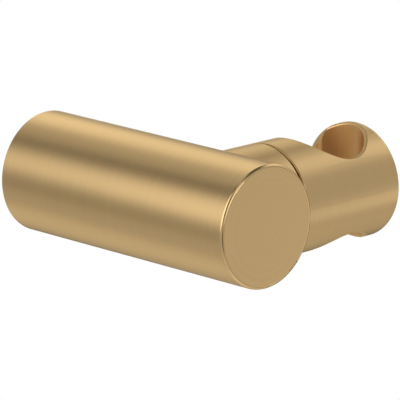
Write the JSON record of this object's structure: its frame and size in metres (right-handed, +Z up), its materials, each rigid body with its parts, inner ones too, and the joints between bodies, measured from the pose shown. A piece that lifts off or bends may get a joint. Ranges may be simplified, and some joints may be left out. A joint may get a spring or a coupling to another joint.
{
  "type": "hand shower holder",
  "caption": "Cylindrical wall-mounted hand shower holder in brushed gold, with a side neck and a swivelling head that has a tapered bore and a hose slot",
  "frame": {"origin": "centre of the round face that lies on the wall", "axes": "+Y into the wall, the cylinder runs to -Y, the head points to +X, +Z is up"},
  "size_m": [0.0641, 0.076, 0.03],
  "materials": {
    "gold_brass": "brushed satin gold",
    "plain_brass": "as turned",
    "steel": "plain",
    "dark_plastic": "matte",
    "white_plastic": "matte",
    "black_rubber": "matte"
  },
  "bodies": {
    "wall_unit": {"body": "gold_brass", "wall_bracket": "plain_brass", "wall_seal": "black_rubber", "grub_screw": "steel", "friction_ring": "dark_plastic", "pivot_screw": "steel", "disc_springs": "steel", "thrust_washer": "steel"},
    "head_unit": {"swivel_head": "gold_brass", "swivel_bush": "white_plastic", "swivel_o_ring": "black_rubber"}
  },
  "joints": [
    {"name": "head_swivel", "type": "hinge", "parent": "wall_unit", "child": "head_unit", "pos_m": [0.0169, -0.05865, 0], "axis": [1, 0, 0], "continuous": true}
  ]
}
